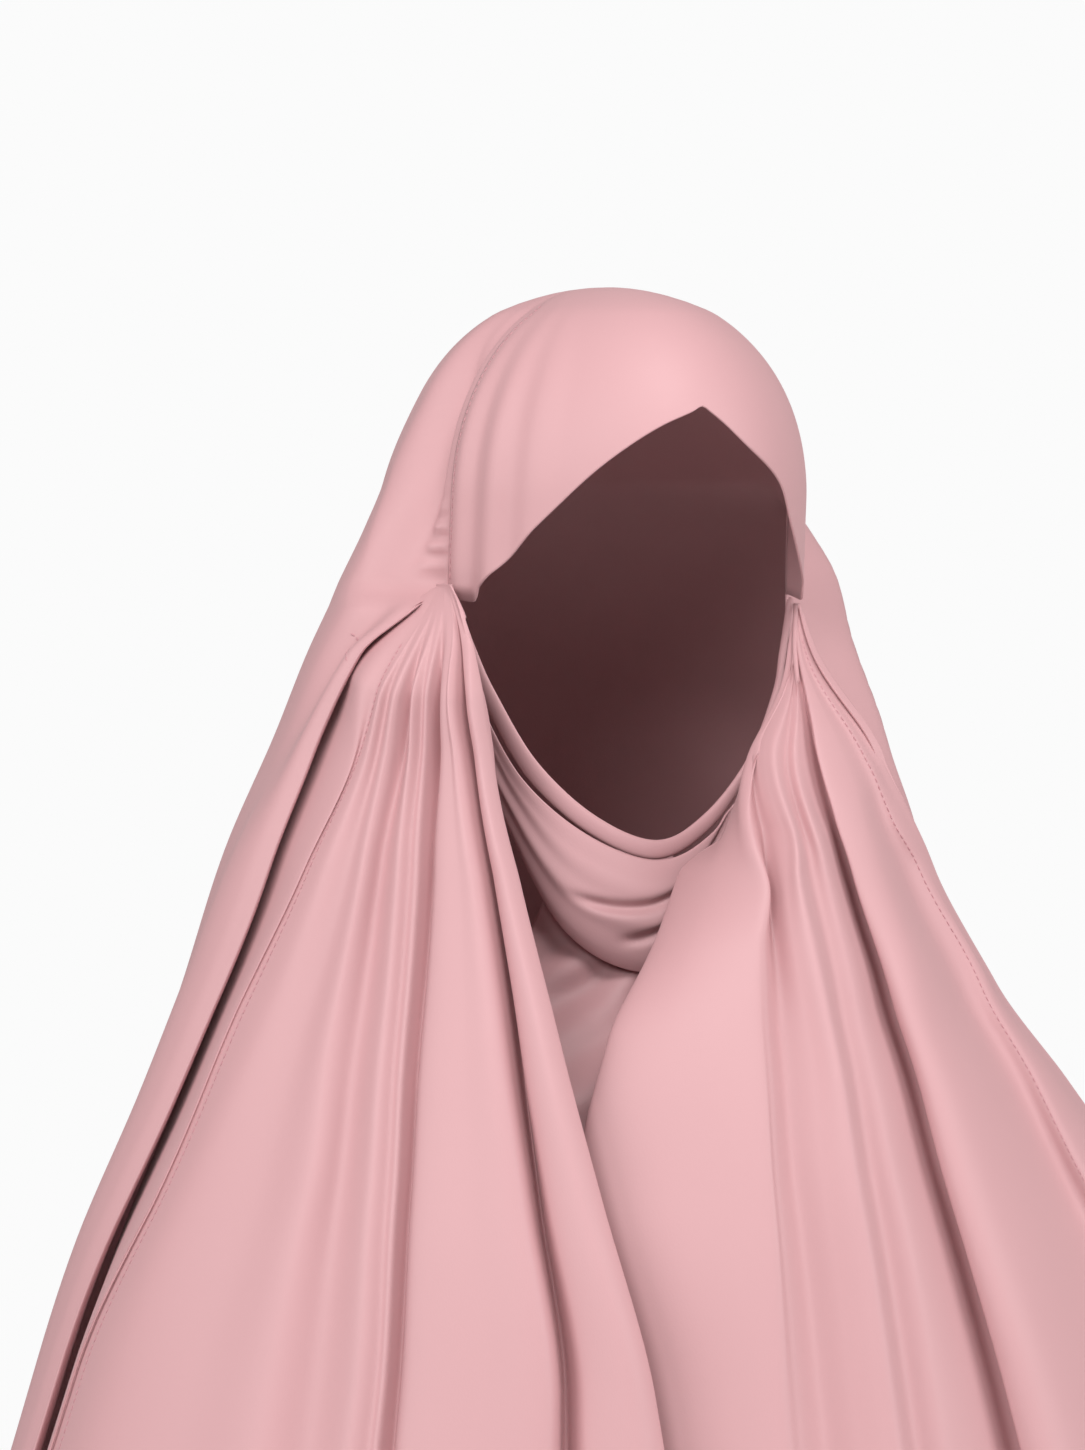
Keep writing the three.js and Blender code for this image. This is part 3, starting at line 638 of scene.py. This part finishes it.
def sheet_piece(name, surface, us, vs, size, wall=CREPE):
    """A cloth piece: a grid moved on to its surface, with its thickness inside."""
    spots = np.array([surface(np.asarray(us, float), v) for v in vs]) * MM
    bm = bmesh.new()
    uv = bm.loops.layers.uv.new("cloth")
    bmesh.ops.create_grid(bm, x_segments=len(us) - 1, y_segments=len(vs) - 1, size=1)
    for face in bm.faces:
        for loop in face.loops:
            x, y = loop.vert.co.xy
            loop[uv].uv = ((x + 1) / 2 * size[0], (y + 1) / 2 * size[1])
    for vert in bm.verts:
        i = round((vert.co.x + 1) / 2 * (len(us) - 1))
        j = round((vert.co.y + 1) / 2 * (len(vs) - 1))
        vert.co = spots[j][i]
    bmesh.ops.remove_doubles(bm, verts=bm.verts, dist=2e-6)
    bm.normal_update()
    facing = sum(f.normal.dot(f.calc_center_median() * Vector((1, 1, 0))) for f in bm.faces)
    if facing < 0:
        bmesh.ops.reverse_faces(bm, faces=bm.faces)
    for face in bm.faces:
        face.smooth = True
    piece = object_from(name, bm, ROSE_CREPE)
    thick = piece.modifiers.new("cloth_thickness", "SOLIDIFY")
    thick.thickness = wall * MM
    thick.offset = -1
    return piece


def thread_piece(name, paths):
    """Rows of straight stitches, each a short rounded length of thread."""
    bm = bmesh.new()
    for path in paths:
        for a, b in along_seam(path, STITCH_EVERY, STITCH_LONG):
            run = Vector(b - a)
            turn = run.to_track_quat("Z", "Y").to_matrix().to_4x4()
            place = Matrix.Translation(Vector((a + b) / 2) * MM) @ turn
            girth = THREAD_RADIUS * MM
            size = Matrix.Diagonal((girth, girth, run.length / 2 * MM, 1))
            bmesh.ops.create_uvsphere(bm, u_segments=6, v_segments=5, radius=1, matrix=place @ size)
    for face in bm.faces:
        face.smooth = True
    return object_from(name, bm, ROSE_THREAD)


def fine(from_, to, count):
    return np.linspace(from_, to, count + 1)


crown_levels = [1.006 * s for s in np.concatenate([[0, 0.003, 0.01, 0.02, 0.035, 0.055], fine(0.08, 1, 62)])]
hood_levels = np.concatenate([crown_levels, fine(1.012, 1.25, 60), fine(1.257, 2, 62)])
hood_lines = np.concatenate([fine(-1, 0, 8), fine(0, 5, 100)[1:], fine(5, 16, 120)[1:]])
hood_piece = sheet_piece("hood", hood, hood_lines, hood_levels, (1.75, 0.95))
band_lines = fine(-90, 90, 150)
band_shares = np.concatenate([[0, 0.003, 0.01, 0.02, 0.035, 0.055], fine(0.08, 1, 90)])
band_piece = sheet_piece("brow_band", band, band_lines, band_shares, (0.25, 0.2))
drape_levels = np.concatenate([fine(0.992, 1.25, 110), fine(1.255, 2, 90)])
right_piece = sheet_piece("right_drape", right_drape, fine(0, 19, 304), drape_levels, (0.7, 0.7))
left_levels = np.concatenate([fine(1.012, 1.3, 115), fine(1.305, 2, 85)])
left_piece = sheet_piece("left_drape", left_drape, fine(0, 19, 266), left_levels, (0.8, 0.7))
cowl_piece = sheet_piece("cowl", cowl, fine(0.6, 9.4, 160), fine(0, 7, 90), (0.3, 0.08))
hem_turns = fine(-math.pi / 2 + 0.12, 1.5 * math.pi - 0.12, 20)
hem_piece = sheet_piece("chin_edge", chin_hem, hem_turns, fine(0, 10, 200), (0.018, 0.28), wall=0.5)
throat_piece = sheet_piece("throat", throat, fine(-78, 42, 90), fine(1.158, 1.47, 80), (0.3, 0.25))


def lifted(spots):
    """Moves places away from the head axis, so that a stitch lies on top of its cloth."""
    away = spots * (1, 1, 0)
    away /= np.linalg.norm(away, axis=1)[:, None]
    return spots + away * LIFT


def on_cloth(surface, places):
    """Dense path of places on a cloth surface."""
    return lifted(np.array([surface(np.array([u]), v)[0] for u, v in places]))


crown_shares = np.linspace(0.06, 0.98, 240)
crown_row = [on_cloth(band, [(side * CROWN_SEAM_BEARING, s) for s in crown_shares]) for side in (-1, 1)]
crown_thread = thread_piece("crown_topstitch", crown_row)
seam_levels = np.linspace(1.03, 1.995, 900)

def hem_row(surface, last):
    """Dense path round the cloth, a finger's width above its hem."""
    return lifted(surface(np.linspace(0.02, last - 0.02, 2400), HEM_ROW))


right_seam = on_cloth(right_drape, [(RIGHT_SEAM_LINE, v) for v in seam_levels])
left_seam = on_cloth(left_drape, [(LEFT_SEAM_LINE, v) for v in seam_levels])
right_rows = [right_seam, hem_row(right_drape, 19)]
left_rows = [left_seam, hem_row(left_drape, 19)]
right_thread = thread_piece("right_seam_topstitch", right_rows)
left_thread = thread_piece("left_seam_topstitch", left_rows)
tack_row = on_cloth(hood, zip(np.linspace(*TACK_LINES, 60), np.linspace(*TACK_LEVELS, 60)))
hood_thread = thread_piece("hood_stitches", [tack_row, hem_row(hood, 16)])

made = [
    (hood_piece, "hood_veil"),
    (band_piece, "forehead_band"),
    (right_piece, "right_front_drape"),
    (left_piece, "left_front_drape"),
    (cowl_piece, "chin_cowl"),
    (hem_piece, "chin_hem"),
    (throat_piece, "throat_panel"),
]
for piece, cad in made:
    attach(piece, "root")
    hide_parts(cad)
for piece, cad in [
    (crown_thread, "forehead_band"),
    (hood_thread, "hood_veil"),
    (right_thread, "right_front_drape"),
    (left_thread, "left_front_drape"),
]:
    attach(piece, "root")

# Camera at the height of the face, to the wearer's right of the front
CAMERA_AT = (-1.0450, -2.1661, -0.0937)
CAMERA_AIM = (-0.0313, 0.0078, -0.1774)
CAMERA_LENS = 146
CAMERA_SENSOR = 36
cam_data = bpy.data.cameras.new("camera")
cam_data.lens = CAMERA_LENS
cam_data.sensor_width = CAMERA_SENSOR
camera = bpy.data.objects.new("camera", cam_data)
camera.location = CAMERA_AT
look = Vector(CAMERA_AIM) - camera.location
camera.rotation_mode = "QUATERNION"
camera.rotation_quaternion = look.to_track_quat("-Z", "Y")
bpy.context.scene.collection.objects.link(camera)
bpy.context.scene.camera = camera

# Pale floor below the hem
FLOOR_HEIGHT = -0.84
FLOOR_RADIUS = 1.9
pale = bpy.data.materials.new("pale_studio_paper")
pale.use_nodes = True
pale.node_tree.nodes["Principled BSDF"].inputs["Base Color"].default_value = linear("f2f2f1")
pale.node_tree.nodes["Principled BSDF"].inputs["Roughness"].default_value = 0.9
bm = bmesh.new()
bmesh.ops.create_circle(bm, cap_ends=True, segments=96, radius=FLOOR_RADIUS,
                        matrix=Matrix.Translation((0, 0, FLOOR_HEIGHT)))
floor = object_from("floor", bm, pale)

# Soft studio light
world = bpy.data.worlds.new("studio")
world.use_nodes = True
tree = world.node_tree
tree.nodes.clear()
seen = node(tree, "ShaderNodeBackground", {"Color": linear("fbfbfb"), "Strength": 1.0})
lit = node(tree, "ShaderNodeBackground", {"Color": linear("ffffff"), "Strength": 0.22})
ray = node(tree, "ShaderNodeLightPath")
both = node(tree, "ShaderNodeMixShader")
tree.links.new(ray.outputs["Is Camera Ray"], both.inputs[0])
tree.links.new(lit.outputs[0], both.inputs[1])
tree.links.new(seen.outputs[0], both.inputs[2])
node(tree, "ShaderNodeOutputWorld", {}, {"Surface": both.outputs[0]})
bpy.context.scene.world = world


def softbox(name, place, aim, size, power):
    light = bpy.data.lights.new(name, "AREA")
    light.shape = "RECTANGLE"
    light.size, light.size_y = size
    light.energy = power
    lamp = bpy.data.objects.new(name, light)
    lamp.location = place
    lamp.rotation_mode = "QUATERNION"
    lamp.rotation_quaternion = (Vector(aim) - Vector(place)).to_track_quat("-Z", "Y")
    bpy.context.scene.collection.objects.link(lamp)


softbox("key", (-2.2, -2.0, 1.3), (0, 0, -0.3), (1.3, 1.3), 42)
softbox("left", (-2.7, -0.5, 0.4), (0, 0, -0.3), (1.4, 1.4), 27)
softbox("front", (2.1, -2.2, 0.6), (0, 0, -0.3), (1.6, 1.6), 46)
softbox("overhead", (-0.1, -1.2, 1.5), (0, -0.02, 0), (0.8, 0.8), 26)
bpy.context.scene.view_settings.view_transform = "Standard"
